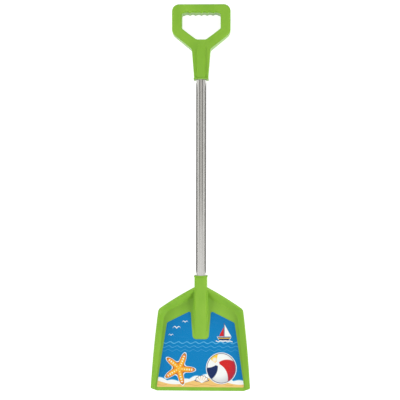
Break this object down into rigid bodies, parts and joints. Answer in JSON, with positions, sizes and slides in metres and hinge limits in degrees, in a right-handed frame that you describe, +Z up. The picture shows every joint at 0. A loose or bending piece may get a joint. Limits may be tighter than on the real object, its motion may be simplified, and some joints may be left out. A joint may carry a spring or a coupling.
{
  "type": "sand shovel",
  "caption": "Child's long sand shovel: shallow moulded scoop blade with a raised rim and a printed film, steel tube shaft and a moulded D-grip with finger grooves.",
  "frame": {"origin": "on the ground under the middle of the shovel, which lies on its back as it is put down", "axes": "+Z up out of the open side of the scoop, +Y along the steel tube towards the grip, +X across the blade; the tube's axis lies 13.6 mm above the ground and the blade's front edge 344.2 mm from the origin"},
  "size_m": [0.1758, 0.6884, 0.044],
  "materials": {
    "green_plastic": "semi-gloss moulded polypropylene",
    "printed_film": "gloss printed film",
    "polished_steel": "polished steel tube",
    "zinc_steel": "zinc-plated screw"
  },
  "bodies": {
    "root": {"blade": "green_plastic", "label": "printed_film", "tube": "polished_steel", "grip": "green_plastic", "blade_screw": "zinc_steel", "grip_screw": "zinc_steel"}
  },
  "joints": []
}
